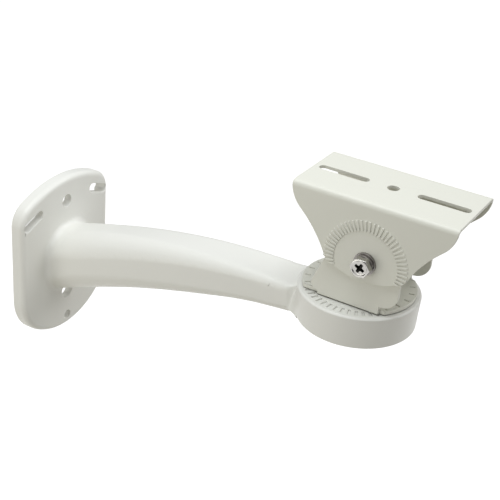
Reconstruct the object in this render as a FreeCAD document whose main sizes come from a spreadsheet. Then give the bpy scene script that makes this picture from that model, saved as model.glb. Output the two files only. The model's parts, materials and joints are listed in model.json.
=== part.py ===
import FreeCAD, Part
import math
import os
import Sketcher
from FreeCAD import Placement, Rotation, Vector

# Camera bracket: a cast wall arm with a round serrated head, a folded yoke that turns on the head,
# and a folded camera plate that tilts on the yoke. Millimetres, +Z up, +X away from the wall.
# The origin is the middle of the wall plate's back face.

doc = FreeCAD.newDocument("camera_bracket")
sizes = doc.addObject("Spreadsheet::Sheet", "sizes")

# Driving dimensions: alias, value, meaning
DRIVING = [
    ("plate_width", 110, "wall plate, side to side"),
    ("plate_top", 69, "wall plate, highest point above the origin"),
    ("plate_bottom", 69, "wall plate, lowest point below the origin"),
    ("plate_thickness", 11, "wall plate, back to front"),
    ("plate_top_radius", 106, "wall plate, radius of the top edge"),
    ("plate_bottom_radius", 66, "wall plate, radius of the bottom edge"),
    ("plate_top_corner", 18, "wall plate, upper corners"),
    ("plate_low_corner", 40, "wall plate, lower corners"),
    ("plate_edge_round", 4.5, "wall plate, rounding of the front edge"),
    ("rim_width", 5, "wall plate, rim left round the hollow back"),
    ("back_depth", 4, "wall plate, depth of the hollow back"),
    ("core_radius", 27.5, "wall plate, solid middle behind the arm"),
    ("top_hole_height", 49, "upper middle hole, above the origin"),
    ("top_hole_radius", 5.5, "upper middle hole"),
    ("cable_hole_drop", 35, "cable hole under the arm, below the origin"),
    ("cable_hole_radius", 7, "cable hole under the arm"),
    ("low_hole_drop", 59.5, "lowest screw hole, below the origin"),
    ("low_hole_radius", 4, "lowest screw hole"),
    ("hole_reach", 24, "screw and cable holes, how far the cutter reaches"),
    ("wall_slot_side", 41, "wall slots, to each side of the middle"),
    ("wall_slot_height", 45.5, "wall slots, above the origin"),
    ("wall_slot_length", 23.5, "wall slots, over all"),
    ("wall_slot_radius", 4, "wall slots, half their width"),
    ("wall_slot_angle", 20, "wall slots, slope in degrees"),
    ("root_fillet", 5, "fillet from the arm to the wall plate"),
    ("reach", 274.5, "wall to the pan axis"),
    ("head_top", 64, "top of the round head, above the origin"),
    ("head_radius", 44.5, "round head"),
    ("head_thickness", 25.5, "round head"),
    ("head_draft", 1, "round head, how much smaller its lower rim is"),
    ("head_top_bevel", 1.2, "round head, bevel of the upper rim"),
    ("head_low_bevel", 1, "round head, bevel of the lower rim"),
    ("neck_half_width", 19.3, "neck between arm and head, half its width"),
    ("neck_fillet", 21, "neck, hollow corners seen from above"),
    ("neck_drop", 8.1, "neck, its top below the top of the head"),
    ("neck_height", 18.9, "neck, from its underside to its top"),
    ("recess_radius", 19, "recess under the head for the pan bolt"),
    ("head_web", 10, "metal left above that recess"),
    ("hub_radius", 26, "raised middle of the head, under the yoke"),
    ("ring_drop", 0.4, "serrated ring, its top below the raised middle"),
    ("serration_count", 48, "serrations round the head"),
    ("serration_inner", 34.3, "serrations, inner radius"),
    ("serration_outer", 40.3, "serrations, outer radius"),
    ("serration_width", 2.2, "serrations"),
    ("serration_depth", 1, "serrations"),
    ("pan_gap", 0.3, "gap between the head and the yoke"),
    ("sheet_thickness", 2.5, "folded steel"),
    ("fold_radius", 1.5, "inside radius of the folds"),
    ("yoke_radius", 41, "yoke base"),
    ("yoke_chord", 26.5, "yoke base, straight sides from the middle"),
    ("pivot_offset", 14.5, "tilt axis in front of the pan axis"),
    ("pivot_height", 37, "tilt axis above the underside of the yoke"),
    ("ear_radius", 26, "ears round the tilt axis"),
    ("fold_front", 27.5, "front end of the ear's fold, from the pan axis"),
    ("fold_back", 19, "back end of the ear's fold, from the pan axis"),
    ("ear_foot_back", 27.3, "lowest back corner of the ear, from the pan axis"),
    ("ear_front_step", 6.3, "lower edge of the ear in front of the fold, above the underside"),
    ("ear_back_corner", 5, "ear, lower back corner"),
    ("ear_front_corner", 12, "ear, lower front corner"),
    ("ear_edge_round", 1, "ears, lower outer edge, struck nearly sharp"),
    ("relief_height", 3, "relief cuts at the ends of the folds"),
    ("trim_reach", 60, "how far the trimming cuts reach past the folded parts"),
    ("mark_step_angle", 16, "pressed marks on the yoke base, degrees apart"),
    ("mark_start_angle", -36, "first pressed mark, degrees"),
    ("mark_count", 5, "pressed marks on each end"),
    ("mark_inner", 35.3, "pressed marks, inner radius"),
    ("mark_outer", 39.3, "pressed marks, outer radius"),
    ("mark_width", 1.3, "pressed marks"),
    ("mark_depth", 0.8, "pressed marks"),
    ("camera_length", 120, "camera plate, front to back"),
    ("camera_width", 64, "camera plate, over the flanges"),
    ("camera_rise", 44, "top of the camera plate above the tilt axis"),
    ("camera_slot_margin", 4, "camera slots, from the ends of the plate"),
    ("camera_slot_length", 38, "camera slots, over all"),
    ("camera_slot_radius", 3.5, "camera slots, half their width"),
    ("camera_hole_radius", 4.3, "camera plate, centre hole"),
    ("shoulder_radius", 24, "flange, convex shoulder"),
    ("shoulder_drop", 1, "flange, straight part above the shoulder"),
    ("flank_angle", 42, "flange, slope where the shoulder meets the flank, degrees"),
    ("flank_radius", 90, "flange, hollow flank"),
    ("foot_angle", 65, "flange, slope at the foot of the flank, degrees"),
    ("flange_corner", 8, "flange, lower corners"),
    ("flange_drop", 14.2, "flange, lowest point below the tilt axis"),
    ("tooth_step_angle", 6, "pressed teeth on the flange, degrees apart"),
    ("tooth_start_angle", -18, "first pressed tooth, degrees"),
    ("tooth_count", 37, "pressed teeth on each flange"),
    ("tooth_inner", 23.3, "pressed teeth, inner radius"),
    ("tooth_outer", 31, "pressed teeth, outer radius"),
    ("tooth_width", 1.5, "pressed teeth"),
    ("tooth_rise", 0.8, "pressed teeth"),
    ("side_gap", 0.3, "gap between an ear and its flange"),
    ("washer_gap", 0.1, "running gap between a flat washer and what turns under it"),
    ("bolt_radius", 4, "M8 bolts"),
    ("hole_gap", 0.4, "gap between a bolt and its hole"),
    ("washer_hole_gap", 0.3, "gap between a bolt and a washer"),
    ("thread_gap", 0.05, "gap between a bolt and its nut"),
    ("hex_across", 13, "bolt heads and nuts, across the flats"),
    ("bolt_head_height", 5.3, "bolt heads"),
    ("hex_crown", 6.2, "bolt heads, radius of the round top edge"),
    ("tilt_bolt_length", 16, "tilt bolts, under the head"),
    ("pan_bolt_length", 25, "pan bolt, under the head"),
    ("washer_radius", 8, "flat washers"),
    ("washer_thickness", 1.6, "flat washers"),
    ("spring_radius", 7.2, "spring washers"),
    ("spring_thickness", 2.1, "spring washers"),
    ("spring_split", 1.4, "opening of a spring washer"),
    ("nut_height", 6.5, "nuts"),
]

# Sections of the arm from the wall to the head: distance from the wall, half width, top, bottom, corner
ARM_SECTIONS = [
    (8, 25.6, 23.9, -30.2, 20.4),
    (62, 24, 39.6, -9.6, 18.5),
    (114, 22.3, 49.8, 8, 14),
    (165, 20.8, 54.9, 22.1, 9.5),
    (217, 19.7, 56.2, 31.8, 6.5),
    (243, 19.3, 56.4, 35.5, 6),
    (262, 18, 56.4, 42.5, 5),
]
SECTION_SIZES = ("out", "half", "high", "low", "corner")
SECTION_FORMULAS = [
    ("flat", "{0}_half - {0}_corner"),
    ("upper", "{0}_high - {0}_corner"),
    ("lower", "{0}_low + {0}_corner"),
]

# Sizes that follow from the driving ones: alias, formula
DERIVED = [
    ("plate_half", "plate_width / 2"),
    ("top_centre", "plate_top - plate_top_radius"),
    ("top_corner_side", "plate_half - plate_top_corner"),
    ("top_corner_span", "sqrt((plate_top_radius - plate_top_corner) ^ 2 - top_corner_side ^ 2)"),
    ("top_corner_height", "top_centre + top_corner_span"),
    ("top_spread", "plate_top_radius / (plate_top_radius - plate_top_corner)"),
    ("top_join_side", "top_corner_side * top_spread"),
    ("top_join_height", "top_centre + top_corner_span * top_spread"),
    ("low_centre", "plate_bottom_radius - plate_bottom"),
    ("low_corner_side", "plate_half - plate_low_corner"),
    ("low_corner_span", "sqrt((plate_bottom_radius - plate_low_corner) ^ 2 - low_corner_side ^ 2)"),
    ("low_corner_height", "low_centre - low_corner_span"),
    ("low_spread", "plate_bottom_radius / (plate_bottom_radius - plate_low_corner)"),
    ("low_join_side", "low_corner_side * low_spread"),
    ("low_join_height", "low_centre - low_corner_span * low_spread"),
    ("hollow_half", "plate_half - rim_width"),
    ("hollow_top_radius", "plate_top_radius - rim_width"),
    ("hollow_top_corner", "plate_top_corner - rim_width"),
    ("hollow_top_spread", "hollow_top_radius / (plate_top_radius - plate_top_corner)"),
    ("hollow_top_side", "top_corner_side * hollow_top_spread"),
    ("hollow_top_height", "top_centre + top_corner_span * hollow_top_spread"),
    ("hollow_low_radius", "plate_bottom_radius - rim_width"),
    ("hollow_low_corner", "plate_low_corner - rim_width"),
    ("hollow_low_spread", "hollow_low_radius / (plate_bottom_radius - plate_low_corner)"),
    ("hollow_low_side", "low_corner_side * hollow_low_spread"),
    ("hollow_low_height", "low_centre - low_corner_span * hollow_low_spread"),
    ("head_floor", "head_top - head_thickness"),
    ("head_low_radius", "head_radius - head_draft"),
    ("head_low_flat", "head_low_radius - head_low_bevel"),
    ("head_low_side", "head_floor + head_low_bevel"),
    ("head_top_flat", "head_radius - head_top_bevel"),
    ("ring_top", "head_top - ring_drop"),
    ("head_top_side", "ring_top - head_top_bevel"),
    ("neck_span", "sqrt((head_low_radius + neck_fillet) ^ 2 - (neck_half_width + neck_fillet) ^ 2)"),
    ("neck_start", "reach - neck_span"),
    ("neck_share", "head_low_radius / (head_low_radius + neck_fillet)"),
    ("neck_end", "reach - neck_span * neck_share"),
    ("neck_end_half", "(neck_half_width + neck_fillet) * neck_share"),
    ("neck_floor", "head_top - neck_drop - neck_height"),
    ("recess_ceiling", "head_top - head_web"),
    ("serration_half", "serration_width / 2"),
    ("yoke_floor", "head_top + pan_gap"),
    ("tilt_axis_x", "reach + pivot_offset"),
    ("tilt_axis_z", "yoke_floor + pivot_height"),
    ("flange_outside", "camera_width / 2"),
    ("flange_inside", "flange_outside - sheet_thickness"),
    ("ear_outside", "flange_inside - side_gap"),
    ("ear_inside", "ear_outside - sheet_thickness"),
    ("outer_fold", "fold_radius + sheet_thickness"),
    ("ear_fold_side", "ear_outside - outer_fold"),
    ("ear_edge_side", "ear_outside - ear_edge_round"),
    ("ear_top", "pivot_height + ear_radius"),
    ("wall_top", "ear_top + 2"),
    ("trim_top", "ear_top + 6"),
    ("trim_side", "ear_outside + 2"),
    ("yoke_half_chord", "sqrt(yoke_radius ^ 2 - yoke_chord ^ 2)"),
    ("yoke_length", "2 * yoke_radius + 4"),
    ("ear_front", "pivot_offset + ear_radius"),
    ("foot_run", "pivot_offset + ear_foot_back"),
    ("foot_climb", "pivot_height - relief_height"),
    ("foot_distance", "sqrt(foot_run ^ 2 + foot_climb ^ 2)"),
    ("back_edge", "sqrt(foot_distance ^ 2 - ear_radius ^ 2)"),
    ("back_angle", "atan(foot_climb / foot_run) + asin(ear_radius / foot_distance)"),
    ("back_touch_x", "back_edge * cos(back_angle) - ear_foot_back"),
    ("back_touch_z", "back_edge * sin(back_angle) + relief_height"),
    ("foot_touch", "ear_back_corner / tan(back_angle / 2)"),
    ("foot_flat_x", "foot_touch - ear_foot_back"),
    ("foot_slope_x", "foot_touch * cos(back_angle) - ear_foot_back"),
    ("foot_slope_z", "foot_touch * sin(back_angle) + relief_height"),
    ("mark_half", "mark_width / 2"),
    ("mark_sweep", "mark_step_angle * (mark_count - 1)"),
    ("mark_start_back", "180 - mark_start_angle - mark_sweep"),
    ("camera_half", "camera_length / 2"),
    ("camera_slot_place", "camera_half - camera_slot_margin - camera_slot_length / 2"),
    ("camera_trim", "camera_half + 5"),
    ("flange_end", "flange_drop + 2"),
    ("camera_underside", "camera_rise - sheet_thickness"),
    ("camera_fold_side", "flange_outside - outer_fold"),
    ("camera_fold_height", "camera_rise - outer_fold"),
    ("shoulder_height", "camera_rise - shoulder_drop"),
    ("flank_top_x", "camera_half - shoulder_radius + shoulder_radius * sin(flank_angle)"),
    ("flank_top_z", "shoulder_height - shoulder_radius * cos(flank_angle)"),
    ("flank_foot_x", "flank_top_x - flank_radius * (sin(foot_angle) - sin(flank_angle))"),
    ("flank_foot_z", "flank_top_z - flank_radius * (cos(flank_angle) - cos(foot_angle))"),
    ("corner_side", "flank_foot_x - flange_corner * sin(foot_angle)"),
    ("corner_centre", "flank_foot_z + flange_corner * cos(foot_angle)"),
    ("corner_lift", "corner_centre + flange_drop"),
    ("corner_reach", "corner_side ^ 2 + corner_lift ^ 2 - flange_corner ^ 2"),
    ("flange_arc", "corner_reach / (2 * (corner_lift - flange_corner))"),
    ("arc_centre", "flange_arc - flange_drop"),
    ("corner_spread", "flange_arc / (flange_arc - flange_corner)"),
    ("corner_join_side", "corner_side * corner_spread"),
    ("corner_join_height", "arc_centre - (arc_centre - corner_centre) * corner_spread"),
    ("tooth_half", "tooth_width / 2"),
    ("tooth_sweep", "tooth_step_angle * (tooth_count - 1)"),
    ("clear_radius", "bolt_radius + hole_gap"),
    ("washer_bore", "bolt_radius + washer_hole_gap"),
    ("nut_bore", "bolt_radius + thread_gap"),
    ("hex_radius", "hex_across / sqrt(3)"),
    ("hex_skirt", "hex_crown + bolt_head_height * sqrt(3)"),
    ("flat_seat", "flange_outside + washer_gap"),
    ("spring_seat", "flat_seat + washer_thickness"),
    ("head_seat", "spring_seat + spring_thickness"),
    ("pan_flat_seat", "recess_ceiling - washer_gap"),
    ("pan_spring_seat", "pan_flat_seat - washer_thickness"),
    ("pan_head_seat", "pan_spring_seat - spring_thickness"),
    ("pan_nut_seat", "yoke_floor + sheet_thickness"),
]


def fill_sheet():
    """Writes every size in a row of the sheet: its name, its value and what it means."""
    rows = [(alias, str(value), meaning) for alias, value, meaning in DRIVING]
    for number, section in enumerate(ARM_SECTIONS, 1):
        for name, value in zip(SECTION_SIZES, section):
            rows.append((f"arm{number}_{name}", str(value), f"arm section {number}, {name}"))
        for name, formula in SECTION_FORMULAS:
            rows.append((f"arm{number}_{name}", "=" + formula.format(f"arm{number}"), "follows"))
    rows += [(alias, "=" + formula, "follows from the sizes above") for alias, formula in DERIVED]
    for row, (alias, content, meaning) in enumerate(rows, 1):
        sizes.set(f"A{row}", alias)
        sizes.set(f"B{row}", content)
        sizes.set(f"C{row}", meaning)
        sizes.setAlias(f"B{row}", alias)
    doc.recompute()


fill_sheet()


def size(name):
    """The value of a size, or of its negative where the name starts with a minus."""
    if name.startswith("-"):
        return -float(sizes.get(name[1:]))
    return float(sizes.get(name))


def link(name):
    """The same size as an expression."""
    if name.startswith("-"):
        return f"-sizes.{name[1:]}"
    return f"sizes.{name}"


def bind(thing, **properties):
    """Ties properties of an object to sizes; a double underscore stands for a dot."""
    for prop, name in properties.items():
        thing.setExpression(prop.replace("__", "."), link(name))


# Bodies and sketches

def new_body(label, x=None, z=None):
    """An empty body, its own origin placed on the sizes named."""
    body = doc.addObject("PartDesign::Body", label)
    body.Label = label
    if x:
        bind(body, Placement__Base__x=x)
    if z:
        bind(body, Placement__Base__z=z)
    return body


def origin_plane(body, role):
    for item in body.Origin.OriginFeatures:
        if item.Role == role:
            return item


def new_sketch(body, name, plane, x=None, y=None, z=None, turn=None):
    """A sketch on one of the body's own planes, moved and turned in that plane by the sizes named."""
    sketch = body.newObject("Sketcher::SketchObject", name)
    sketch.AttachmentSupport = [(origin_plane(body, plane), "")]
    sketch.MapMode = "FlatFace"
    base = Vector(*(size(name) if name else 0 for name in (x, y, z)))
    angle = size(turn) if turn else 0
    sketch.AttachmentOffset = Placement(base, Rotation(Vector(0, 0, 1), angle))
    for axis, name in (("x", x), ("y", y), ("z", z)):
        if name:
            sketch.setExpression(f"AttachmentOffset.Base.{axis}", link(name))
    if turn:
        sketch.setExpression("AttachmentOffset.Rotation.Angle", link(turn))
    return sketch


def constrain(sketch, kind, *references, name=None):
    """Adds a constraint and, where a size is named, ties its value to that size."""
    if name is None:
        sketch.addConstraint(Sketcher.Constraint(kind, *references))
        return
    number = sketch.addConstraint(Sketcher.Constraint(kind, *references, size(name)))
    sketch.setExpression(f"Constraints[{number}]", link(name))


def hold_point(sketch, item, end, across, upward):
    """Ties a point of a sketch to two sizes measured from the sketch's origin; None means on the axis."""
    if across:
        constrain(sketch, "DistanceX", -1, 1, item, end, name=across)
    else:
        constrain(sketch, "PointOnObject", item, end, -2)
    if upward:
        constrain(sketch, "DistanceY", -1, 1, item, end, name=upward)
    else:
        constrain(sketch, "PointOnObject", item, end, -1)


def spot(across, upward):
    """The point those two sizes give."""
    return Vector(size(across) if across else 0, size(upward) if upward else 0, 0)


def draw_circle(sketch, across, upward, radius):
    circle = Part.Circle(spot(across, upward), Vector(0, 0, 1), size(radius))
    item = sketch.addGeometry(circle, False)
    if across or upward:
        hold_point(sketch, item, 3, across, upward)
    else:
        constrain(sketch, "Coincident", item, 3, -1, 1)
    constrain(sketch, "Radius", item, name=radius)


def arc_middle(start, end, radius, bulge):
    """The middle of the arc between two points; bulge 1 lies right of the way along, -1 left."""
    chord = end - start
    half = chord.Length / 2
    rise = radius - math.sqrt(radius ** 2 - half ** 2)
    right = Vector(chord.y, -chord.x, 0).normalize()
    return (start + end) / 2 + right * rise * bulge


def draw_outline(sketch, corners):
    """A closed outline through the corners (across, upward), every one tied to its sizes. A corner with
    a radius and a bulge starts an arc; all other sides are straight."""
    places = [spot(corner[0], corner[1]) for corner in corners]
    sides = []
    for i, corner in enumerate(corners):
        start = places[i]
        end = places[(i + 1) % len(places)]
        if len(corner) > 2:
            middle = arc_middle(start, end, size(corner[2]), corner[3])
            item = sketch.addGeometry(Part.Arc(start, middle, end), False)
            swapped = (sketch.getPoint(item, 1) - start).Length > (sketch.getPoint(item, 2) - start).Length
        else:
            item = sketch.addGeometry(Part.LineSegment(start, end), False)
            swapped = False
        sides.append((item, 2, 1) if swapped else (item, 1, 2))
    for i, (item, begin, finish) in enumerate(sides):
        following, start_of_following, _ = sides[(i + 1) % len(sides)]
        constrain(sketch, "Coincident", item, finish, following, start_of_following)
        hold_point(sketch, item, begin, corners[i][0], corners[i][1])
        if len(corners[i]) > 2:
            constrain(sketch, "Radius", item, name=corners[i][2])


def draw_slot(sketch, across, length, radius):
    """A straight slot along the sketch's first axis, its middle at the size named."""
    middle = size(across) if across else 0
    reach = size(length) / 2 - size(radius)
    width = size(radius)
    low = Part.LineSegment(Vector(middle - reach, -width, 0), Vector(middle + reach, -width, 0))
    high = Part.LineSegment(Vector(middle + reach, width, 0), Vector(middle - reach, width, 0))
    right_centre = Vector(middle + reach, 0, 0)
    left_centre = Vector(middle - reach, 0, 0)
    up = Vector(0, 0, 1)
    right = Part.ArcOfCircle(Part.Circle(right_centre, up, width), -math.pi / 2, math.pi / 2)
    left = Part.ArcOfCircle(Part.Circle(left_centre, up, width), math.pi / 2, math.pi * 1.5)
    first = sketch.GeometryCount
    for shape in (low, right, high, left):
        sketch.addGeometry(shape, False)
    for i in range(4):
        constrain(sketch, "Tangent", first + i, 2, first + (i + 1) % 4, 1)
    constrain(sketch, "Horizontal", first)
    constrain(sketch, "Radius", first + 1, name=radius)
    for arc, sign in ((first + 1, 1), (first + 3, -1)):
        constrain(sketch, "PointOnObject", arc, 3, -1)
        value = middle + sign * reach
        number = sketch.addConstraint(Sketcher.Constraint("DistanceX", -1, 1, arc, 3, value))
        place = f"{link(across)} + " if across else ""
        formula = f"{place}({sign}) * (sizes.{length} / 2 - sizes.{radius})"
        sketch.setExpression(f"Constraints[{number}]", formula)


def draw_box(sketch, left, right, low, high):
    draw_outline(sketch, [(left, low), (right, low), (right, high), (left, high)])


def finish_feature(body, feature, sketch):
    """Takes the sketch as the feature's outline and builds it."""
    feature.Profile = sketch
    sketch.Visibility = False
    doc.recompute()
    return feature


def pad(body, name, sketch, length, reverse=False, middle=False):
    feature = body.newObject("PartDesign::Pad", name)
    bind(feature, Length=length)
    feature.Reversed = reverse
    feature.Midplane = middle
    return finish_feature(body, feature, sketch)


def pocket(body, name, sketch, length=None, reverse=False, middle=False):
    """A cut along the sketch's back side, as deep as the size named or right through."""
    feature = body.newObject("PartDesign::Pocket", name)
    if length:
        bind(feature, Length=length)
    else:
        feature.Type = "ThroughAll"
    feature.Reversed = reverse
    feature.Midplane = middle
    return finish_feature(body, feature, sketch)


def ring_pattern(body, name, feature, sketch, sweep, count):
    """Copies of a feature round its own sketch's origin; without a sweep they go all the way round."""
    pattern = body.newObject("PartDesign::PolarPattern", name)
    pattern.Originals = [feature]
    pattern.Axis = (sketch, ["N_Axis"])
    if sweep:
        bind(pattern, Angle=sweep)
    else:
        pattern.Angle = 360
    bind(pattern, Occurrences=count)
    body.Tip = pattern
    doc.recompute()
    return pattern


def round_edges(body, name, radius, belongs):
    """Rounds those edges of the body's present shape that the test picks."""
    base = body.Tip
    names = [f"Edge{i}" for i, edge in enumerate(base.Shape.Edges, 1) if belongs(edge)]
    feature = body.newObject("PartDesign::Fillet", name)
    feature.Base = (base, names)
    bind(feature, Radius=radius)
    doc.recompute()
    return feature


def flat_at(edge, axis, value, slack=0.01):
    """Whether an edge lies wholly in the plane where that axis has that value."""
    box = edge.BoundBox
    low, high = {"x": (box.XMin, box.XMax), "y": (box.YMin, box.YMax), "z": (box.ZMin, box.ZMax)}[axis]
    return abs(low - value) < slack and abs(high - value) < slack


# The casting: wall plate, arm, neck and round head

def plate_outline(sketch, half, corner, radius, side, height, low_corner, low_radius, low_side, low_height):
    """The egg-shaped outline: wide arcs above and below, tangent corner arcs and straight sides."""
    draw_outline(sketch, [
        (half, "low_corner_height"),
        (half, "top_corner_height", corner, 1),
        (side, height, radius, 1),
        ("-" + side, height, corner, 1),
        ("-" + half, "top_corner_height"),
        ("-" + half, "low_corner_height", low_corner, 1),
        ("-" + low_side, low_height, low_radius, 1),
        (low_side, low_height, low_corner, 1),
    ])


def build_wall_plate(body):
    sketch = new_sketch(body, "plate_outline", "YZ_Plane")
    plate_outline(sketch, "plate_half", "plate_top_corner", "plate_top_radius", "top_join_side",
                  "top_join_height", "plate_low_corner", "plate_bottom_radius", "low_join_side",
                  "low_join_height")
    pad(body, "plate", sketch, "plate_thickness")
    front = size("plate_thickness")
    round_edges(body, "plate_edge", "plate_edge_round", lambda edge: flat_at(edge, "x", front))
    hollow = new_sketch(body, "hollow_outline", "YZ_Plane")
    plate_outline(hollow, "hollow_half", "hollow_top_corner", "hollow_top_radius", "hollow_top_side",
                  "hollow_top_height", "hollow_low_corner", "hollow_low_radius", "hollow_low_side",
                  "hollow_low_height")
    pocket(body, "hollow_back", hollow, "back_depth", reverse=True)


def fill_behind_arm(body):
    """Solid metal in the hollow back, behind the arm."""
    core = new_sketch(body, "core_outline", "YZ_Plane")
    draw_circle(core, None, None, "core_radius")
    pad(body, "core", core, "back_depth")


def draw_arm_section(sketch, number):
    """A rectangle with round corners, two straight sides and a flat top and bottom."""
    half, high, low, corner = (f"arm{number}_{name}" for name in ("half", "high", "low", "corner"))
    flat = f"arm{number}_flat"
    upper = f"arm{number}_upper"
    lower = f"arm{number}_lower"
    draw_outline(sketch, [
        (half, lower),
        (half, upper, corner, 1),
        (flat, high),
        ("-" + flat, high, corner, 1),
        ("-" + half, upper),
        ("-" + half, lower, corner, 1),
        ("-" + flat, low),
        (flat, low, corner, 1),
    ])


def build_arm(body):
    """The curved arm, smooth through all its sections."""
    sections = []
    for number in range(1, len(ARM_SECTIONS) + 1):
        sketch = new_sketch(body, f"arm_section_{number}", "YZ_Plane", z=f"arm{number}_out")
        draw_arm_section(sketch, number)
        sketch.Visibility = False
        sections.append(sketch)
    doc.recompute()
    loft = body.newObject("PartDesign::AdditiveLoft", "arm")
    loft.Profile = sections[0]
    loft.Sections = sections[1:]
    loft.Ruled = False
    doc.recompute()
    front = size("plate_thickness")
    reach = size("arm1_half") * 1.35
    round_edges(body, "arm_root", "root_fillet",
                lambda edge: flat_at(edge, "x", front) and edge.CenterOfMass.distanceToPoint(
                    Vector(front, 0, 0)) < reach)


def build_neck(body):
    """A flare under the head's rim that carries the arm's sides into the round head."""
    sketch = new_sketch(body, "neck_outline", "XY_Plane", z="neck_floor")
    draw_outline(sketch, [
        ("neck_start", "-neck_half_width", "neck_fillet", -1),
        ("neck_end", "-neck_end_half"),
        ("neck_end", "neck_end_half", "neck_fillet", -1),
        ("neck_start", "neck_half_width"),
    ])
    pad(body, "neck", sketch, "neck_height")


def build_head(body):
    """The round head, turned about the pan axis, with its bevelled rims."""
    sketch = new_sketch(body, "head_profile", "XZ_Plane", x="reach")
    draw_outline(sketch, [
        (None, "head_floor"),
        ("head_low_flat", "head_floor"),
        ("head_low_radius", "head_low_side"),
        ("head_radius", "head_top_side"),
        ("head_top_flat", "ring_top"),
        ("hub_radius", "ring_top"),
        ("hub_radius", "head_top"),
        (None, "head_top"),
    ])
    turned = body.newObject("PartDesign::Revolution", "head")
    turned.Profile = sketch
    turned.ReferenceAxis = (sketch, ["V_Axis"])
    turned.Angle = 360
    sketch.Visibility = False
    doc.recompute()


def cut_head(body):
    """The recess for the pan bolt, its hole, and the serrations round the top."""
    recess = new_sketch(body, "recess_outline", "XY_Plane", x="reach", z="recess_ceiling")
    draw_circle(recess, None, None, "recess_radius")
    pocket(body, "recess", recess)
    hole = new_sketch(body, "pan_hole_outline", "XY_Plane", x="reach", z="head_top")
    draw_circle(hole, None, None, "clear_radius")
    pocket(body, "pan_hole", hole)
    notch = new_sketch(body, "serration_outline", "XY_Plane", x="reach", z="ring_top")
    draw_box(notch, "serration_inner", "serration_outer", "-serration_half", "serration_half")
    first = pocket(body, "serration", notch, "serration_depth")
    ring_pattern(body, "serrations", first, notch, None, "serration_count")


def cut_wall_holes(body):
    rounds = new_sketch(body, "wall_hole_outlines", "YZ_Plane")
    draw_circle(rounds, None, "top_hole_height", "top_hole_radius")
    draw_circle(rounds, None, "-cable_hole_drop", "cable_hole_radius")
    draw_circle(rounds, None, "-low_hole_drop", "low_hole_radius")
    pocket(body, "wall_holes", rounds, "hole_reach", reverse=True)
    for label, side, angle in (("right", "wall_slot_side", "-wall_slot_angle"),
                               ("left", "-wall_slot_side", "wall_slot_angle")):
        sketch = new_sketch(body, f"wall_slot_{label}", "YZ_Plane", x=side, y="wall_slot_height", turn=angle)
        draw_slot(sketch, None, "wall_slot_length", "wall_slot_radius")
        pocket(body, f"wall_slot_cut_{label}", sketch, "hole_reach", reverse=True)


def build_wall_arm():
    body = new_body("wall_arm")
    build_wall_plate(body)
    fill_behind_arm(body)
    build_arm(body)
    build_neck(body)
    build_head(body)
    cut_wall_holes(body)
    cut_head(body)
    return body


# The folded yoke

def trim_ears(body):
    """Cuts the upright walls to the ears' shape: round about the tilt axis, sloping to a foot."""
    sketch = new_sketch(body, "ear_trim", "XZ_Plane")
    draw_outline(sketch, [
        ("-trim_reach", "relief_height"),
        ("foot_flat_x", "relief_height", "ear_back_corner", -1),
        ("foot_slope_x", "foot_slope_z"),
        ("back_touch_x", "back_touch_z", "ear_radius", -1),
        ("pivot_offset", "ear_top", "ear_radius", -1),
        ("ear_front", "pivot_height"),
        ("ear_front", "ear_front_step"),
        ("fold_front", "ear_front_step"),
        ("fold_front", "relief_height"),
        ("trim_reach", "relief_height"),
        ("trim_reach", "trim_top"),
        ("-trim_reach", "trim_top"),
    ])
    pocket(body, "ear_cut", sketch, "camera_length", middle=True)


def trim_base(body):
    """Cuts the base to a disc with two straight sides, with reliefs at the ends of the folds."""
    sketch = new_sketch(body, "base_trim", "XY_Plane")
    draw_box(sketch, "-trim_reach", "trim_reach", "-trim_reach", "trim_reach")
    draw_outline(sketch, [
        ("-yoke_half_chord", "-yoke_chord"),
        ("-fold_back", "-yoke_chord"),
        ("-fold_back", "-trim_side"),
        ("fold_front", "-trim_side"),
        ("fold_front", "-yoke_chord"),
        ("yoke_half_chord", "-yoke_chord", "yoke_radius", 1),
        ("yoke_half_chord", "yoke_chord"),
        ("fold_front", "yoke_chord"),
        ("fold_front", "trim_side"),
        ("-fold_back", "trim_side"),
        ("-fold_back", "yoke_chord"),
        ("-yoke_half_chord", "yoke_chord", "yoke_radius", 1),
    ])
    pocket(body, "base_cut", sketch, "relief_height", reverse=True)


def press_marks(body, label, start):
    """The short radial marks pressed into the base beside the ears."""
    sketch = new_sketch(body, f"mark_outline_{label}", "XY_Plane", z="sheet_thickness", turn=start)
    draw_box(sketch, "mark_inner", "mark_outer", "-mark_half", "mark_half")
    first = pocket(body, f"mark_{label}", sketch, "mark_depth")
    ring_pattern(body, f"marks_{label}", first, sketch, "mark_sweep", "mark_count")


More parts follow.
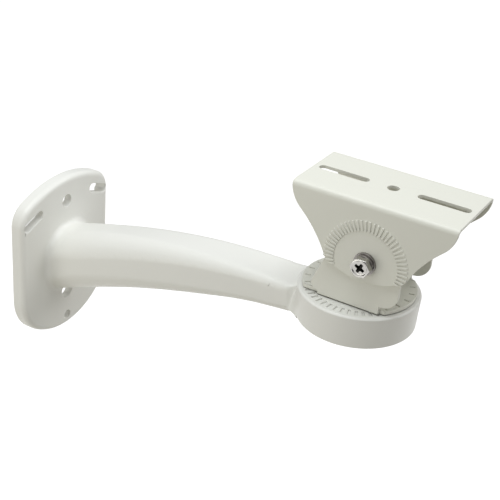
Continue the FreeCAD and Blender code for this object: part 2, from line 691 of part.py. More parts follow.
def build_pan_yoke():
    body = new_body("pan_yoke", x="reach", z="yoke_floor")
    profile = new_sketch(body, "yoke_profile", "YZ_Plane")
    draw_outline(profile, [
        ("-ear_edge_side", None),
        ("ear_edge_side", None, "ear_edge_round", 1),
        ("ear_outside", "ear_edge_round"),
        ("ear_outside", "wall_top"),
        ("ear_inside", "wall_top"),
        ("ear_inside", "outer_fold", "fold_radius", -1),
        ("ear_fold_side", "sheet_thickness"),
        ("-ear_fold_side", "sheet_thickness", "fold_radius", -1),
        ("-ear_inside", "outer_fold"),
        ("-ear_inside", "wall_top"),
        ("-ear_outside", "wall_top"),
        ("-ear_outside", "ear_edge_round", "ear_edge_round", 1),
    ])
    pad(body, "yoke_channel", profile, "yoke_length", middle=True)
    trim_ears(body)
    front = size("ear_front")
    step = size("ear_front_step")
    round_edges(body, "ear_front_corners", "ear_front_corner",
                lambda edge: flat_at(edge, "x", front) and flat_at(edge, "z", step))
    trim_base(body)
    pivot = new_sketch(body, "pivot_hole_outline", "XZ_Plane")
    draw_circle(pivot, "pivot_offset", "pivot_height", "clear_radius")
    pocket(body, "pivot_holes", pivot, "camera_length", middle=True)
    centre = new_sketch(body, "centre_hole_outline", "XY_Plane")
    draw_circle(centre, None, None, "clear_radius")
    pocket(body, "centre_hole", centre, "relief_height", reverse=True)
    press_marks(body, "front", "mark_start_angle")
    press_marks(body, "back", "mark_start_back")
    return body


# The folded camera plate

def trim_flanges(body):
    """Cuts both flanges to shape: round shoulders, sloping flanks and a rounded foot at the pivot."""
    sketch = new_sketch(body, "flange_trim", "XZ_Plane")
    draw_outline(sketch, [
        ("-camera_half", "shoulder_height", "shoulder_radius", 1),
        ("-flank_top_x", "flank_top_z", "flank_radius", -1),
        ("-flank_foot_x", "flank_foot_z", "flange_corner", 1),
        ("-corner_join_side", "corner_join_height", "flange_arc", 1),
        ("corner_join_side", "corner_join_height", "flange_corner", 1),
        ("flank_foot_x", "flank_foot_z", "flank_radius", -1),
        ("flank_top_x", "flank_top_z", "shoulder_radius", 1),
        ("camera_half", "shoulder_height"),
        ("camera_trim", "shoulder_height"),
        ("camera_trim", "-trim_reach"),
        ("-camera_trim", "-trim_reach"),
        ("-camera_trim", "shoulder_height"),
    ])
    pocket(body, "flange_cut", sketch, "camera_length", middle=True)


def press_teeth(body, label, level, reverse):
    """The fan of teeth pressed outward round the pivot."""
    sketch = new_sketch(body, f"tooth_outline_{label}", "XZ_Plane", z=level, turn="tooth_start_angle")
    draw_box(sketch, "tooth_inner", "tooth_outer", "-tooth_half", "tooth_half")
    first = pad(body, f"tooth_{label}", sketch, "tooth_rise", reverse=reverse)
    ring_pattern(body, f"teeth_{label}", first, sketch, "tooth_sweep", "tooth_count")


def build_camera_plate():
    body = new_body("camera_plate", x="tilt_axis_x", z="tilt_axis_z")
    profile = new_sketch(body, "camera_profile", "YZ_Plane")
    draw_outline(profile, [
        ("-camera_fold_side", "camera_rise", "outer_fold", 1),
        ("-flange_outside", "camera_fold_height"),
        ("-flange_outside", "-flange_end"),
        ("-flange_inside", "-flange_end"),
        ("-flange_inside", "camera_fold_height", "fold_radius", -1),
        ("-camera_fold_side", "camera_underside"),
        ("camera_fold_side", "camera_underside", "fold_radius", -1),
        ("flange_inside", "camera_fold_height"),
        ("flange_inside", "-flange_end"),
        ("flange_outside", "-flange_end"),
        ("flange_outside", "camera_fold_height", "outer_fold", 1),
        ("camera_fold_side", "camera_rise"),
    ])
    pad(body, "camera_channel", profile, "camera_length", middle=True)
    press_teeth(body, "near", "flange_outside", False)
    press_teeth(body, "far", "-flange_outside", True)
    trim_flanges(body)
    openings = new_sketch(body, "camera_openings", "XY_Plane", z="camera_rise")
    draw_slot(openings, "camera_slot_place", "camera_slot_length", "camera_slot_radius")
    draw_slot(openings, "-camera_slot_place", "camera_slot_length", "camera_slot_radius")
    draw_circle(openings, None, None, "camera_hole_radius")
    pocket(body, "camera_slots", openings, "outer_fold")
    pivot = new_sketch(body, "tilt_hole_outline", "XZ_Plane")
    draw_circle(pivot, None, None, "clear_radius")
    pocket(body, "tilt_holes", pivot, "camera_length", middle=True)
    return body


# Bolts, washers and nuts: each stands on its own origin, its outer side along +Z

def solid(kind, name, **properties):
    """A simple solid with its sizes tied to the sheet."""
    item = doc.addObject(kind, name)
    bind(item, **properties)
    return item


def fuse(name, *items):
    joined = doc.addObject("Part::MultiFuse", name)
    joined.Shapes = list(items)
    return joined


def cut(name, base, tool):
    result = doc.addObject("Part::Cut", name)
    result.Base = base
    result.Tool = tool
    return result


def place(item, label, x, y, z, rotation):
    """Names a finished piece and puts its origin on the sizes given."""
    item.Label = label
    item.Placement = Placement(Vector(0, 0, 0), rotation)
    for axis, name in (("x", x), ("y", y), ("z", z)):
        if name:
            item.setExpression(f"Placement.Base.{axis}", link(name))
    return item


def build_bolt(label, length, x, y, z, rotation):
    """A hexagon bolt with a crowned head; its origin is under the head."""
    prism = solid("Part::Prism", f"{label}_hexagon", Circumradius="hex_radius", Height="bolt_head_height")
    prism.Polygon = 6
    skirt = solid("Part::Cone", f"{label}_skirt", Radius1="hex_skirt", Radius2="hex_crown",
                  Height="bolt_head_height")
    head = doc.addObject("Part::Common", f"{label}_head")
    head.Base = prism
    head.Tool = skirt
    shank = solid("Part::Cylinder", f"{label}_shank", Radius="bolt_radius", Height=length)
    shank.setExpression("Placement.Base.z", f"-sizes.{length}")
    return place(fuse(label, head, shank), label, x, y, z, rotation)


def build_ring(label, radius, thickness, x, y, z, rotation):
    """A flat washer lying on its origin."""
    disc = solid("Part::Cylinder", f"{label}_disc", Radius=radius, Height=thickness)
    bore = solid("Part::Cylinder", f"{label}_bore", Radius="washer_bore", Height=thickness)
    return place(cut(label, disc, bore), label, x, y, z, rotation)


def build_split_ring(label, x, y, z, rotation):
    """A spring washer, pressed flat, with its opening at the side."""
    disc = solid("Part::Cylinder", f"{label}_disc", Radius="spring_radius", Height="spring_thickness")
    bore = solid("Part::Cylinder", f"{label}_bore", Radius="washer_bore", Height="spring_thickness")
    ring = cut(f"{label}_ring", disc, bore)
    opening = solid("Part::Box", f"{label}_opening", Length="washer_radius", Width="spring_split",
                    Height="spring_thickness")
    opening.setExpression("Placement.Base.y", "-sizes.spring_split / 2")
    return place(cut(label, ring, opening), label, x, y, z, rotation)


def build_nut(label, x, y, z, rotation):
    """A hexagon nut welded to the sheet under its origin."""
    prism = solid("Part::Prism", f"{label}_hexagon", Circumradius="hex_radius", Height="nut_height")
    prism.Polygon = 6
    bore = solid("Part::Cylinder", f"{label}_bore", Radius="nut_bore", Height="nut_height")
    return place(cut(label, prism, bore), label, x, y, z, rotation)


TO_NEAR = Rotation(Vector(1, 0, 0), 90)
TO_FAR = Rotation(Vector(1, 0, 0), -90)
DOWN = Rotation(Vector(1, 0, 0), 180)
UP = Rotation()


def build_tilt_hardware(side, sign, outward, inward):
    """Bolt, spring washer and flat washer outside a flange, and the nut welded inside the ear."""
    axis = ("tilt_axis_x", "tilt_axis_z")
    return [
        build_bolt(f"tilt_bolt_{side}", "tilt_bolt_length", axis[0], sign + "head_seat", axis[1], outward),
        build_split_ring(f"tilt_spring_washer_{side}", axis[0], sign + "spring_seat", axis[1], outward),
        build_ring(f"tilt_flat_washer_{side}", "washer_radius", "washer_thickness", axis[0],
                   sign + "flat_seat", axis[1], outward),
        build_nut(f"tilt_nut_{side}", axis[0], sign + "ear_inside", axis[1], inward),
    ]


def build_pan_hardware():
    """The pan bolt comes up through the head from its recess into a nut welded on the yoke."""
    return [
        build_bolt("pan_bolt", "pan_bolt_length", "reach", None, "pan_head_seat", DOWN),
        build_split_ring("pan_spring_washer", "reach", None, "pan_spring_seat", DOWN),
        build_ring("pan_flat_washer", "washer_radius", "washer_thickness", "reach", None,
                   "pan_flat_seat", DOWN),
        build_nut("pan_nut", "reach", None, "pan_nut_seat", UP),
    ]


def check_objects():
    """Stops the build if any object failed or any shape is empty or invalid."""
    for item in doc.Objects:
        if "Invalid" in item.State or "Error" in item.State:
            raise RuntimeError(f"{item.Name} did not build: {item.State}")
        shape = getattr(item, "Shape", None)
        if shape is not None and item.TypeId.startswith(("Part", "PartDesign")):
            if shape.isNull() or not shape.isValid():
                raise RuntimeError(f"{item.Name} has no valid shape")


def write_parts(pieces):
    os.makedirs("parts", exist_ok=True)
    for piece in pieces:
        shape = piece.Shape
        if len(shape.Solids) != 1:
            raise RuntimeError(f"{piece.Label} is {len(shape.Solids)} solids")
        shape.exportStep(f"parts/{piece.Label}.step")
        print(f"{piece.Label}: {shape.Volume / 1000:.2f} cm3")


pieces = [build_wall_arm(), build_pan_yoke(), build_camera_plate()]
pieces += build_tilt_hardware("near", "-", TO_NEAR, TO_FAR)
pieces += build_tilt_hardware("far", "", TO_FAR, TO_NEAR)
pieces += build_pan_hardware()
doc.recompute()
check_objects()
write_parts(pieces)
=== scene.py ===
# %% [markdown]
# # A wall bracket for a camera
# The real bracket is an aluminium casting that is screwed to a wall. A folded steel yoke turns on its
# round head, and a folded steel plate for the camera tilts on the yoke. The solids come from the CAD
# model in metres, with +X out of the wall and +Z up. Everything here dresses them: soft edges, powder
# paint, bright bolts, and a pale studio.

# %% Load the CAD model
import json
import math

import bmesh
import bpy
from mathutils import Matrix, Vector


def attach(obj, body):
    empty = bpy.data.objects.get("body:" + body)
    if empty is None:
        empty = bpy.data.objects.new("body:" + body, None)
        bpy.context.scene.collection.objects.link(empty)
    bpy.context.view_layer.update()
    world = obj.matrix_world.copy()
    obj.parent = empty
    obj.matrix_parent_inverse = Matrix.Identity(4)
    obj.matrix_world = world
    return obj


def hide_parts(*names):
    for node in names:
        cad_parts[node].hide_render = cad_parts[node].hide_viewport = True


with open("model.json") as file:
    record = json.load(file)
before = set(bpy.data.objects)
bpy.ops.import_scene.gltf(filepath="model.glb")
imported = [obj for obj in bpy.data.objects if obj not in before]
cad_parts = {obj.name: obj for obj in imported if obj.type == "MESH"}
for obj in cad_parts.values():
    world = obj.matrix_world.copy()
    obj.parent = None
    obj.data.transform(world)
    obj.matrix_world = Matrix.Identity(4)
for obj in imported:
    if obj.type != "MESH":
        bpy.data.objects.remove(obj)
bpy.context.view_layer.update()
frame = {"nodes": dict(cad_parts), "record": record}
print("CAD nodes:", sorted(frame["nodes"]))

# %% [markdown]
# ## Units and axes
# Lengths below are in millimetres, as a maker would read them off a drawing, and one factor turns them
# into Blender's metres. The yoke turns about the pan axis, which stands upright through the round head.
# The camera plate turns about the tilt axis, which runs along Y through the two side bolts.

# %% Units and axes
MM = 0.001
PAN_X = 274.5
HEAD_TOP = 64.0
TILT_X = 289.0
TILT_Z = 101.3


def point(x, y, z):
    """A place given in millimetres, in Blender's metres."""
    return Vector((x, y, z)) * MM


print("pan axis at x", PAN_X, "mm, tilt axis at", (TILT_X, TILT_Z), "mm")

# %% [markdown]
# ## Colours and nodes
# A colour is easiest to choose as it looks on a screen, but light adds up in linear values, so one
# function turns the one into the other. A second function adds any shader node together with its
# settings and links, which keeps a material readable as a short recipe.

# %% Colour and node helpers
SRGB_KNEE = 0.04045


def linear(hex_text):
    """An sRGB hex colour as linear RGBA."""
    parts = [int(hex_text[i:i + 2], 16) / 255 for i in (0, 2, 4)]
    return [c / 12.92 if c <= SRGB_KNEE else ((c + 0.055) / 1.055) ** 2.4 for c in parts] + [1.0]


def add_node(tree, kind, settings=None, values=None, links=None):
    """A node with its settings, its socket values and its links, each link from (node, socket)."""
    node = tree.nodes.new(kind)
    for name, value in (settings or {}).items():
        setattr(node, name, value)
    for name, value in (values or {}).items():
        node.inputs[name].default_value = value
    for name, (source, socket) in (links or {}).items():
        tree.links.new(source.outputs[socket], node.inputs[name])
    return node


def new_material(name):
    """An empty material and its node tree."""
    material = bpy.data.materials.new(name)
    material.use_nodes = True
    material.node_tree.nodes.clear()
    return material, material.node_tree


WHITE = linear("FFFFFF")
print("mid grey 808080 in linear light:", round(linear("808080")[0], 3))

# %% [markdown]
# ## Powder coat
# The casting and both folded plates wear the same off-white polyester powder coat. It is sprayed on dry
# and melted in an oven, so it flows into a skin with a faint orange peel: low waves about 2 mm apart.
# It has a soft shine, which the roughness gives. The waves are kept tiny, because at this size they
# only break up the highlights, and they are flatter on smooth rolled sheet than on a casting. The gaps
# between teeth and other tight creases get painted shade: an ambient occlusion node finds them within
# about a millimetre and darkens the paint's colour there, which an image painted by hand would do less
# well when the joints move.

# %% Powder coat
ORANGE_PEEL_MM = 2.0
PEEL_DETAIL = 2.0
CAST_WAVE_MM = 0.02
SHEET_WAVE_MM = 0.015
COAT_ROUGHNESS = 0.38
COAT_IOR = 1.5
CREASE_MM = 1.2
CREASE_SAMPLES = 8
CREASE_FULL = 0.3
CREASE_NONE = 0.75


def powder_coat(name, colour, crease_shade_colour, wave_mm):
    """Off-white paint with painted shade in tight creases, with waves of a given height."""
    material, tree = new_material(name)
    # Painted shade: where ambient occlusion finds walls close by, the paint's colour turns to the darker
    # crease colour.
    near = add_node(tree, "ShaderNodeAmbientOcclusion", {"samples": CREASE_SAMPLES},
                    {"Distance": CREASE_MM * MM})
    painted_crease_shade = add_node(tree, "ShaderNodeValToRGB", links={"Fac": (near, "AO")})
    deep, plain = painted_crease_shade.color_ramp.elements
    deep.position, deep.color = CREASE_FULL, linear(crease_shade_colour)
    plain.position, plain.color = CREASE_NONE, linear(colour)
    place = add_node(tree, "ShaderNodeTexCoord")
    peel = add_node(tree, "ShaderNodeTexNoise",
                    values={"Scale": 1 / (ORANGE_PEEL_MM * MM), "Detail": PEEL_DETAIL},
                    links={"Vector": (place, "Object")})
    bump = add_node(tree, "ShaderNodeBump", values={"Strength": 1.0, "Distance": wave_mm * MM},
                    links={"Height": (peel, "Fac")})
    paint = add_node(tree, "ShaderNodeBsdfPrincipled",
                     values={"Roughness": COAT_ROUGHNESS, "IOR": COAT_IOR},
                     links={"Normal": (bump, "Normal"), "Base Color": (painted_crease_shade, "Color")})
    add_node(tree, "ShaderNodeOutputMaterial", links={"Surface": (paint, "BSDF")})
    return material


# Each paint's second colour is the painted shade in its creases.
cast_paint = powder_coat("powder_coat_on_cast_aluminium", "E9E9E4", "A3A196", CAST_WAVE_MM)
# The folded steel's coat is set a shade darker than the casting's: painted shade for its flanges, which
# get less light.
sheet_paint = powder_coat("powder_coat_on_folded_steel", "DFDFD5", "8F8C81", SHEET_WAVE_MM)
print("paints:", cast_paint.name, sheet_paint.name)

# %% [markdown]
# ## Bright zinc plate
# Bolts, washers and nuts are steel with a thin bright zinc plate. It mirrors the studio softly, a
# little blurred by the drawn and stamped surface under it, so its roughness is low. The spring washers
# are hardened before they are plated and come out greyer. The cross recesses get painted shade: a
# near-black, dull zinc. A metal needs no more than its colour and its roughness.

# %% Bright zinc plate
def bright_zinc(name, colour, roughness):
    """A zinc plate of a given colour and blur."""
    material, tree = new_material(name)
    metal = add_node(tree, "ShaderNodeBsdfPrincipled",
                     values={"Base Color": linear(colour), "Metallic": 1.0, "Roughness": roughness})
    add_node(tree, "ShaderNodeOutputMaterial", links={"Surface": (metal, "BSDF")})
    return material


zinc = bright_zinc("bright_zinc_plate", "B4B2AE", 0.14)
dull_zinc = bright_zinc("dull_zinc_on_sprung_steel", "8B8784", 0.35)
# Painted shade for the cross recesses: a near-black, dull zinc.
recess_shade_zinc = bright_zinc("zinc_with_painted_recess_shade", "2B2A28", 0.5)
print("plates:", zinc.name, dull_zinc.name, recess_shade_zinc.name)

# %% [markdown]
# ## From loose triangles to a skin
# A CAD node arrives as loose triangles. Its mesh is left alone, and a copy is merged into one closed
# skin. Triangles that lie flat together become one face, because long thin triangles across a flat face
# catch the light unevenly once the corners round off.

# %% Merge a CAD node into one skin
WELD_MM = 0.002
FLAT_DEGREES = 0.4


def merged_skin(node_name, dissolve=True):
    """The node's loose triangles as one closed skin, with flat groups of them as single faces."""
    skin = bmesh.new()
    skin.from_mesh(frame["nodes"][node_name].data)
    bmesh.ops.remove_doubles(skin, verts=skin.verts, dist=WELD_MM * MM)
    if dissolve:
        bmesh.ops.dissolve_limit(skin, angle_limit=math.radians(FLAT_DEGREES), verts=skin.verts,
                                 edges=skin.edges)
    return skin


print("a skin welds corners closer than", WELD_MM, "mm")

# %% [markdown]
# ## From a skin to a finished piece
# Real corners are never razor sharp: paint draws back from them and leaves a small round edge, which is
# what catches the light. A Bevel modifier does that on every corner at once. It stays a modifier, so
# its width can still be changed. Weighted normals then keep the large flat faces flat.

# %% Shade a skin and ease its corners
SHARP_DEGREES = 32
ROUND_STEPS = 2
FLAT_WEIGHT = 80


def finished_piece(skin, piece_name, soft_mm):
    """An object from a skin: smooth on curves, crisp at corners, each corner eased by a small bevel."""
    mesh = bpy.data.meshes.new(piece_name)
    wide = [face for face in skin.faces if len(face.verts) > 4]
    bmesh.ops.triangulate(skin, faces=wide, quad_method="BEAUTY", ngon_method="BEAUTY")
    skin.to_mesh(mesh)
    skin.free()
    mesh.shade_smooth()
    mesh.set_sharp_from_angle(angle=math.radians(SHARP_DEGREES))
    piece = bpy.data.objects.new(piece_name, mesh)
    bpy.context.collection.objects.link(piece)
    ease = piece.modifiers.new("eased_corners", "BEVEL")
    ease.width = soft_mm * MM
    ease.segments = ROUND_STEPS
    ease.limit_method = "ANGLE"
    ease.angle_limit = math.radians(SHARP_DEGREES)
    ease.use_clamp_overlap = False
    level = piece.modifiers.new("flat_faces_stay_flat", "WEIGHTED_NORMAL")
    level.keep_sharp = True
    level.weight = FLAT_WEIGHT
    return piece


print("corners over", SHARP_DEGREES, "degrees are eased in", ROUND_STEPS, "steps")

# %% [markdown]
# ## Standing in for the CAD node
# A finished piece replaces its CAD node in the picture and rides on the same moving body, so it pans
# and tilts with the mechanism. The record says which body each node belongs to.

# %% Stand a piece in for its node
def body_of(node_name):
    """The moving body that the record gives for a node."""
    for body, members in frame["record"]["behaviour"]["bodies"].items():
        if node_name in members:
            return body


def dress(node_name, piece, materials):
    """Gives a piece its materials and lets it stand for the CAD node, on the same moving body."""
    for material in materials:
        piece.data.materials.append(material)
    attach(piece, body_of(node_name))
    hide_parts(node_name)
    print(piece.name, len(piece.data.polygons), "faces")


# %% [markdown]
# ## The cast arm
# Wall plate, arm and head are one aluminium casting, soft at every corner, as it comes out of a mould.
# Two places need help before the corners are eased. The flat wall plate is made of long triangles that
# would twist the bevel, so its edges are halved until they are short. The hollow necks between arm and
# head meet the arm at a faint ridge, which a patternmaker would blend by hand with filler. Here that
# region is cut finer and then smoothed, which is the same work.

# %% Cut a region finer
PLATE_FRONT = 11.5
PLATE_EDGE_MM = 6
NECK_START = 212.0
NECK_MIDDLE = 46.0
NECK_SIDE = 6
NECK_EDGE_MM = 1.6
HEAD_RADIUS = 44.5
HEAD_CLEAR = 0.3
CUT_PASSES = 5


def on_wall_plate(place):
    """Whether a place in millimetres lies on the wall plate."""
    return place.x < PLATE_FRONT


def on_neck(place):
    """Whether a place in millimetres lies on the upper neck, to either side and short of the head."""
    beyond_head = math.hypot(place.x - PAN_X, place.y) > HEAD_RADIUS + HEAD_CLEAR
    between = NECK_START < place.x < PAN_X and place.z > NECK_MIDDLE
    return between and abs(place.y) > NECK_SIDE and beyond_head


def cut_long_edges(skin, inside, longest_mm):
    """Halves every edge that is too long and has both ends in the region, a few times over."""
    for _ in range(CUT_PASSES):
        long = [edge for edge in skin.edges if edge.calc_length() > longest_mm * MM
                and all(inside(vert.co / MM) for vert in edge.verts)]
        bmesh.ops.subdivide_edges(skin, edges=long, cuts=1)
        bmesh.ops.triangulate(skin, faces=[face for face in skin.faces if len(face.verts) > 3])


arm_skin = merged_skin("wall_arm", dissolve=False)
cut_long_edges(arm_skin, on_wall_plate, PLATE_EDGE_MM)
cut_long_edges(arm_skin, on_neck, NECK_EDGE_MM)
print("arm skin:", len(arm_skin.faces), "faces")

# %% Blend the necks and finish the casting
NECK_PASSES = 24
NECK_PULL = 0.5
CAST_SOFT_MM = 0.3
neck = [vert for vert in arm_skin.verts if on_neck(vert.co / MM)]
for _ in range(NECK_PASSES):
    bmesh.ops.smooth_vert(arm_skin, verts=neck, factor=NECK_PULL, use_axis_x=True, use_axis_y=True,
                          use_axis_z=True)
dress("wall_arm", finished_piece(arm_skin, "cast_arm", CAST_SOFT_MM), [cast_paint])

# %% [markdown]
# ## The folded plates
# The yoke and the camera plate are blanked from steel sheet and folded in a press. The sheared edges
# are broken before painting. The teeth are pressed into the flanges of the camera plate, and a press
# rounds them over, so its edges are eased as much as such small teeth allow.

# %% Yoke and camera plate
YOKE_SOFT_MM = 0.25
CAMERA_PLATE_SOFT_MM = 0.26
dress("pan_yoke", finished_piece(merged_skin("pan_yoke"), "folded_yoke", YOKE_SOFT_MM), [sheet_paint])
dress("camera_plate",
      finished_piece(merged_skin("camera_plate"), "folded_camera_plate", CAMERA_PLATE_SOFT_MM),
      [sheet_paint])

# %% [markdown]
# ## Crossed bolt heads
# The bolts are cold-formed: a hexagon with a crowned top, a shallow dish pressed into it, and a cross
# recess for a number three screwdriver. The dish and the cross are cut into the CAD bolt's own top
# face, so the bolt keeps its size. The top face is inset twice: once for the rim, once for the slope of
# the dish.

# %% Press a dish into a bolt's top
RIM_MM = 0.6
DISH_SLOPE_MM = 0.7
DISH_DEPTH_MM = 0.6
LEVEL_DIGITS = 5


def press_dish(skin, centre, outward):
    """Sinks the face that looks outward and opens it; returns its middle and its edges."""
    top = max(skin.faces,
              key=lambda face: round((face.calc_center_median() - centre).dot(outward), LEVEL_DIGITS))
    bmesh.ops.inset_region(skin, faces=[top], thickness=RIM_MM * MM, use_even_offset=True)
    bmesh.ops.inset_region(skin, faces=[top], thickness=DISH_SLOPE_MM * MM, use_even_offset=True)
    bmesh.ops.translate(skin, verts=top.verts, vec=-outward * DISH_DEPTH_MM * MM)
    middle = centre + outward * (top.calc_center_median() - centre).dot(outward)
    edges = list(top.edges)
    bmesh.ops.delete(skin, geom=[top], context="FACES_ONLY")
    return middle, edges


print("dish:", RIM_MM + DISH_SLOPE_MM, "mm in from the edge,", DISH_DEPTH_MM, "mm deep")

# %% [markdown]
# ## The cross recess
# A forming punch leaves a cross with tapered walls, so that the screwdriver wedges itself in. The
# dish's floor is filled round the outline of the cross, the outline is drawn down as walls, and the
# lower ends of the walls are drawn together and closed.

# %% Punch a cross into the dish
CROSS_HALF_LENGTH = 3.7
CROSS_HALF_WIDTH = 1.0
CROSS_CORNER = 1.3
CROSS_DEPTH_MM = 2.6
CROSS_TAPER = 0.5


def cross_outline(turn):
    """Corners of a cross about the origin, in millimetres, turned by an angle in degrees."""
    arm = [(CROSS_HALF_LENGTH, -CROSS_HALF_WIDTH), (CROSS_HALF_LENGTH, CROSS_HALF_WIDTH),
           (CROSS_CORNER, CROSS_CORNER)]
    return [Matrix.Rotation(math.radians(turn + quarter), 3, "Z") @ Vector((x, y, 0))
            for quarter in (0, 90, 180, 270) for x, y in arm]


def punch_cross(skin, middle, outward, turn, dish_edges):
    """Fills the dish's floor round a cross and sinks the cross; its walls and floor take material 1, the
    painted recess shade.
    """
    spin = Vector((0, 0, 1)).rotation_difference(outward).to_matrix()
    corners = [skin.verts.new(middle + spin @ (corner * MM)) for corner in cross_outline(turn)]
    lip = [skin.edges.new((corners[i - 1], corners[i])) for i in range(len(corners))]
    bmesh.ops.triangle_fill(skin, edges=dish_edges + lip, use_beauty=True)
    walls = bmesh.ops.extrude_edge_only(skin, edges=lip)["geom"]
    low = [item for item in walls if isinstance(item, bmesh.types.BMVert)]
    bmesh.ops.translate(skin, verts=low, vec=-outward * CROSS_DEPTH_MM * MM)
    pit = middle - outward * CROSS_DEPTH_MM * MM
    bmesh.ops.scale(skin, verts=low, vec=(CROSS_TAPER,) * 3, space=Matrix.Translation(-pit))
    low_edges = [item for item in walls if isinstance(item, bmesh.types.BMEdge)
                 and all(vert in low for vert in item.verts)]
    bmesh.ops.contextual_create(skin, geom=low_edges)
    bmesh.ops.recalc_face_normals(skin, faces=skin.faces)
    # Painted shade: the walls and floor of the cross take the near-black zinc.
    for face in skin.faces:
        if any(vert in low for vert in face.verts):
            face.material_index = 1


print("cross:", 2 * CROSS_HALF_LENGTH, "mm across,", CROSS_DEPTH_MM, "mm deep")

# %% [markdown]
# ## The three bolts
# Two bolts hold the camera plate at its sides, and one comes up through the head into the yoke. A
# spanner leaves each at its own turn, so each cross has its own angle.

# %% Bolts
NEAR = Vector((0, -1, 0))
FAR = Vector((0, 1, 0))
DOWN = Vector((0, 0, -1))
BOLT_SOFT_MM = 0.12
BOLTS = {
    "tilt_bolt_near": (point(TILT_X, 0, TILT_Z), NEAR, 65),
    "tilt_bolt_far": (point(TILT_X, 0, TILT_Z), FAR, 15),
    "pan_bolt": (point(PAN_X, 0, HEAD_TOP), DOWN, 65),
}
for name, (centre, outward, turn) in BOLTS.items():
    bolt_skin = merged_skin(name)
    middle, dish_edges = press_dish(bolt_skin, centre, outward)
    punch_cross(bolt_skin, middle, outward, turn, dish_edges)
    dress(name, finished_piece(bolt_skin, f"plated_{name}", BOLT_SOFT_MM), [zinc, recess_shade_zinc])

# %% [markdown]
# ## Washers and nuts
# Under each bolt head lie a split spring washer and a flat washer, and a nut is welded behind the
# sheet. They are stamped, coiled or cold-formed, so the CAD shapes need only a broken edge and their
# plate.

# %% Washers and nuts
SMALL_SOFT_MM = 0.15
WASHERS = sorted(name for name in frame["nodes"] if "washer" in name)
NUTS = sorted(name for name in frame["nodes"] if "nut" in name)
for names, plate in ((WASHERS, dull_zinc), (NUTS, zinc)):
    for name in names:
        dress(name, finished_piece(merged_skin(name), f"plated_{name}", SMALL_SOFT_MM), [plate])

# %% [markdown]
# ## The camera
# The photograph was taken from the front right and above. The camera's place, its turn and its lens
# were worked out from the bracket's own straight edges and circles, so the picture can be laid over the
# photo.

# %% Camera
CAMERA_PLACE = (537.82, -652.28, 461.5)
CAMERA_AZIMUTH = 28.49
CAMERA_ELEVATION = 28.29
CAMERA_ROLL = 4.82
FOCAL_PIXELS = 1131.38
PICTURE_PIXELS = 500
SENSOR_MM = 36.0


def camera_axes(azimuth, elevation, roll):
    """Right, up and back of a camera round the object, turned about its own line of sight."""
    a, e, t = (math.radians(v) for v in (azimuth, elevation, roll))
    right = Vector((math.cos(a), math.sin(a), 0))
    up = Vector((-math.sin(a) * math.sin(e), math.cos(a) * math.sin(e), math.cos(e)))
    back = Vector((math.sin(a) * math.cos(e), -math.cos(a) * math.cos(e), math.sin(e)))
    turned_right = right * math.cos(t) + up * math.sin(t)
    turned_up = up * math.cos(t) - right * math.sin(t)
    return turned_right, turned_up, back


camera_data = bpy.data.cameras.new("photo_camera")
camera_data.sensor_fit = "HORIZONTAL"
camera_data.sensor_width = SENSOR_MM
camera_data.lens = SENSOR_MM * FOCAL_PIXELS / PICTURE_PIXELS
camera = bpy.data.objects.new("photo_camera", camera_data)
bpy.context.collection.objects.link(camera)
stance = Matrix(camera_axes(CAMERA_AZIMUTH, CAMERA_ELEVATION, CAMERA_ROLL)).transposed().to_4x4()
camera.matrix_world = Matrix.Translation(point(*CAMERA_PLACE)) @ stance
bpy.context.scene.camera = camera
print("lens:", round(camera_data.lens, 2), "mm")

# %% [markdown]
# ## The floor
# A product picture like this one stands on a sheet of white paper. This floor lies well below the
# bracket. To the camera, in mirrored light and through anything clear it looks white, with a small glow
# of its own. To all other light it is a dim grey, and so it sends little back, as a floor farther off
# would. The Light Path node tells the two apart, and the shadow stays on both.

# %% Paper floor
FLOOR_Z = -330.0
FLOOR_MIDDLE = 150
FLOOR_SIZE = 9000.0
PAPER_GLOW = 0.45
floor_mesh = bpy.data.meshes.new("floor")
sheet = bmesh.new()
bmesh.ops.create_grid(sheet, x_segments=1, y_segments=1, size=FLOOR_SIZE / 2 * MM,
                      matrix=Matrix.Translation(point(FLOOR_MIDDLE, 0, FLOOR_Z)))
sheet.to_mesh(floor_mesh)
sheet.free()
floor = bpy.data.objects.new("floor", floor_mesh)
bpy.context.collection.objects.link(floor)
floor_paint, floor_tree = new_material("white_paper_floor")
floor_mesh.materials.append(floor_paint)
print("floor at", FLOOR_Z, "mm")

# %% Paper seen and paper that lights
floor_ray = add_node(floor_tree, "ShaderNodeLightPath")
eye_or_mirror = add_node(floor_tree, "ShaderNodeMath", {"operation": "MAXIMUM"},
                         links={0: (floor_ray, "Is Camera Ray"), 1: (floor_ray, "Is Glossy Ray")})
seen_ray = add_node(floor_tree, "ShaderNodeMath", {"operation": "MAXIMUM"},
                    links={0: (eye_or_mirror, 0), 1: (floor_ray, "Is Transmission Ray")})
dim_paper = add_node(floor_tree, "ShaderNodeBsdfDiffuse", values={"Color": linear("AFAB9D")})
white_paper = add_node(floor_tree, "ShaderNodeBsdfDiffuse", values={"Color": WHITE})
glow = add_node(floor_tree, "ShaderNodeEmission", values={"Color": WHITE, "Strength": PAPER_GLOW})
lit_paper = add_node(floor_tree, "ShaderNodeAddShader", links={0: (white_paper, 0), 1: (glow, 0)})
paper = add_node(floor_tree, "ShaderNodeMixShader",
                 links={"Fac": (seen_ray, 0), 1: (dim_paper, 0), 2: (lit_paper, 0)})
add_node(floor_tree, "ShaderNodeOutputMaterial", links={"Surface": (paper, 0)})
print("floor nodes:", len(floor_tree.nodes))

# %% [markdown]
# ## The lamps
# Most of the light falls from a large soft box above. A smaller one at the left and front fills the
# sides that face the viewer, and a broad distant lamp behind the right shoulder of the bracket lights
# the face of the wall plate. Large lamps are chosen because small ones would draw hard shadows, which
# the photo lacks. Their levels come from comparing the picture with the photo, one region at a time.

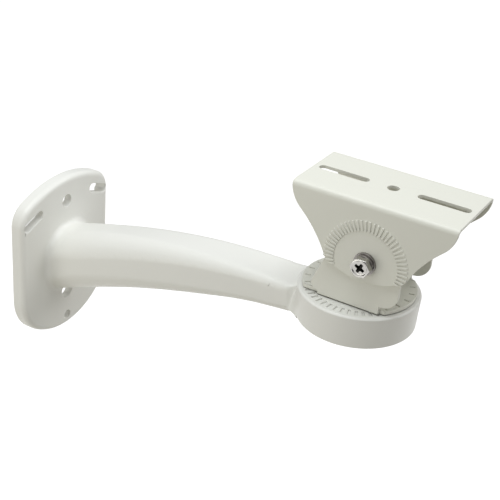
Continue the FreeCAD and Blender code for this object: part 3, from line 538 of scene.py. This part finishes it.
# %% Lamps
def stage_lamp(name, light, place, away):
    """Stands a light at a place in metres, shining from the side that away points to."""
    lamp = bpy.data.objects.new(name, light)
    bpy.context.collection.objects.link(lamp)
    lamp.matrix_world = Matrix.Translation(place) @ away.to_track_quat("Z", "Y").to_matrix().to_4x4()
    print(name, "energy", round(light.energy, 3))


def soft_box(name, place, aim, size_mm, colour, watts):
    """A square studio lamp at a place in millimetres, turned to face another place."""
    light = bpy.data.lights.new(name, "AREA")
    light.size = size_mm * MM
    light.color = linear(colour)[:3]
    light.energy = watts
    stage_lamp(name, light, point(*place), point(*place) - point(*aim))


def broad_lamp(name, azimuth, elevation, level, spread):
    """A distant lamp from a compass angle and a height in degrees, at a given level, softly spread."""
    light = bpy.data.lights.new(name, "SUN")
    light.energy = level * math.pi
    light.angle = math.radians(spread)
    a, e = math.radians(azimuth), math.radians(elevation)
    source = Vector((math.cos(a) * math.cos(e), math.sin(a) * math.cos(e), math.sin(e)))
    stage_lamp(name, light, Vector((0, 0, 0)), source)


soft_box("top_lamp", place=(150, -140, 880), aim=(150, 0, 50), size_mm=600, colour="FAFEFF", watts=4.2)
soft_box("left_lamp", place=(-110, -620, 50), aim=(150, 0, 30), size_mm=460, colour="FFFDF6", watts=1.11)
broad_lamp("right_lamp", azimuth=45, elevation=40, level=0.29, spread=40)

# %% [markdown]
# ## The tent round the bracket
# White cloth round the bracket adds an even, weak light from all sides. To the camera, and through
# anything clear, it is plain white. In mirrored light it is white above and falls off to a dark room
# near the horizon, because a bright bolt in an all-white room would look like flat grey paint: metal
# shows itself by what it mirrors.

# %% World
TENT_LEVEL = 0.39
ROOM_LEVEL = 0.12
ROOM_TOP = 0.32
ROOM_BLEND = 0.1
world = bpy.data.worlds.new("studio")
bpy.context.scene.world = world
world.use_nodes = True
world.node_tree.nodes.clear()
sky = world.node_tree
direction = add_node(sky, "ShaderNodeTexCoord")
height = add_node(sky, "ShaderNodeSeparateXYZ", links={"Vector": (direction, "Generated")})
above = add_node(sky, "ShaderNodeMapRange",
                 values={"From Min": ROOM_TOP - ROOM_BLEND, "From Max": ROOM_TOP + ROOM_BLEND,
                         "To Min": ROOM_LEVEL, "To Max": 1.0},
                 links={"Value": (height, "Z")})
tent = add_node(sky, "ShaderNodeBackground", values={"Color": WHITE, "Strength": TENT_LEVEL})
mirrored = add_node(sky, "ShaderNodeBackground", values={"Color": WHITE},
                    links={"Strength": (above, "Result")})
backdrop = add_node(sky, "ShaderNodeBackground", values={"Color": WHITE, "Strength": 1.0})
print("tent level", TENT_LEVEL, "and room level", ROOM_LEVEL)

# %% Choose the world by the kind of ray
ray = add_node(sky, "ShaderNodeLightPath")
straight = add_node(sky, "ShaderNodeMath", {"operation": "MAXIMUM"},
                    links={0: (ray, "Is Camera Ray"), 1: (ray, "Is Transmission Ray")})
mirror_or_tent = add_node(sky, "ShaderNodeMixShader",
                          links={"Fac": (ray, "Is Glossy Ray"), 1: (tent, 0), 2: (mirrored, 0)})
seen_sky = add_node(sky, "ShaderNodeMixShader",
                    links={"Fac": (straight, 0), 1: (mirror_or_tent, 0), 2: (backdrop, 0)})
add_node(sky, "ShaderNodeOutputWorld", links={"Surface": (seen_sky, 0)})
bpy.context.scene.view_settings.view_transform = "Standard"
print("world nodes:", len(sky.nodes))
